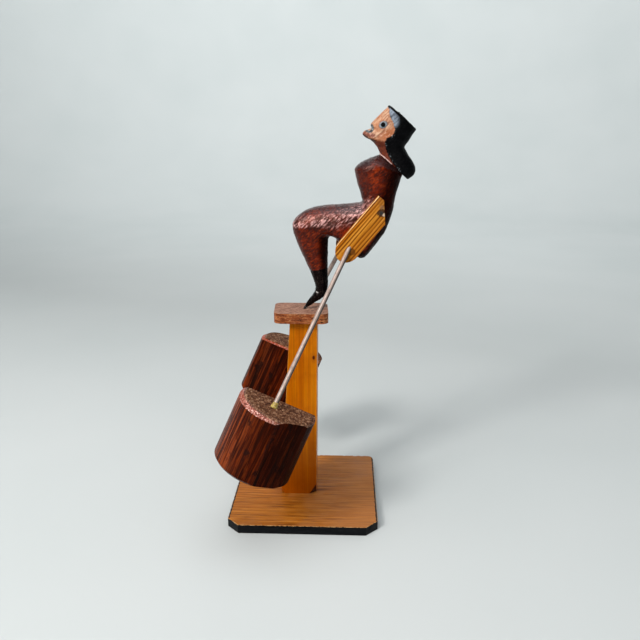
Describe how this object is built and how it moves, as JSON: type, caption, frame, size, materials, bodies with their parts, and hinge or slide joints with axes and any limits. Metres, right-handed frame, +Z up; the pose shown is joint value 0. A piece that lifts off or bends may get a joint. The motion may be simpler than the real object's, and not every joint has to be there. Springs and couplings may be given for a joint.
{
  "type": "counterweight balancing toy",
  "caption": "Carved wooden figure that stands on one pointed toe on a post and rocks, sways and spins, held upright by low wooden counterweights on splayed steel rods.",
  "frame": {"origin": "centre of the underside of the base board", "axes": "+Z up the post; -X is the way the figure faces; -Y is the figure's left, the near side in the picture"},
  "size_m": [0.1232, 0.1616, 0.27],
  "materials": {
    "base_board": "satin orange-brown stain with fine grain, black painted edge",
    "varnished_post": "amber varnish, upright grain",
    "perch_wood": "worn matte, open pores on top",
    "figure_wood": "dark red-brown stain, polished; black gloss boot",
    "head_wood": "tan painted wood with gloss black hair",
    "dowel_wood": "bare",
    "plate_wood": "honey wood with dark stripes, satin",
    "weight_wood": "dark red-brown with streaks, satin; raw end grain on top",
    "rod_steel": "dull drawn steel",
    "pivot_steel": "dark steel",
    "brad_steel": "blackened steel",
    "screw_steel": "bright steel"
  },
  "bodies": {
    "stand": {"base": "base_board", "post": "varnished_post", "perch": "perch_wood", "base_screw": "screw_steel", "perch_brads": "brad_steel"},
    "seat": {"pivot_seat": "pivot_steel"},
    "point": {"pivot_pin": "pivot_steel"},
    "figure": {"figure_body": "figure_wood", "head": "head_wood", "neck_dowel": "dowel_wood", "left_hip_plate": "plate_wood", "right_hip_plate": "plate_wood", "hip_brads": "brad_steel", "left_rod": "rod_steel", "right_rod": "rod_steel", "left_weight": "weight_wood", "right_weight": "weight_wood"}
  },
  "joints": [
    {"name": "spin", "type": "hinge", "parent": "stand", "child": "seat", "pos_m": [0, 0, 0.14096], "axis": [0, 0, 1], "continuous": true},
    {"name": "rock", "type": "hinge", "parent": "seat", "child": "point", "pos_m": [0, 0, 0.14096], "axis": [0, 1, 0], "range_deg": [-25, 25]},
    {"name": "sway", "type": "hinge", "parent": "point", "child": "figure", "pos_m": [0, 0, 0.14096], "axis": [0.6428, 0, 0.766], "range_deg": [-18, 18]}
  ]
}
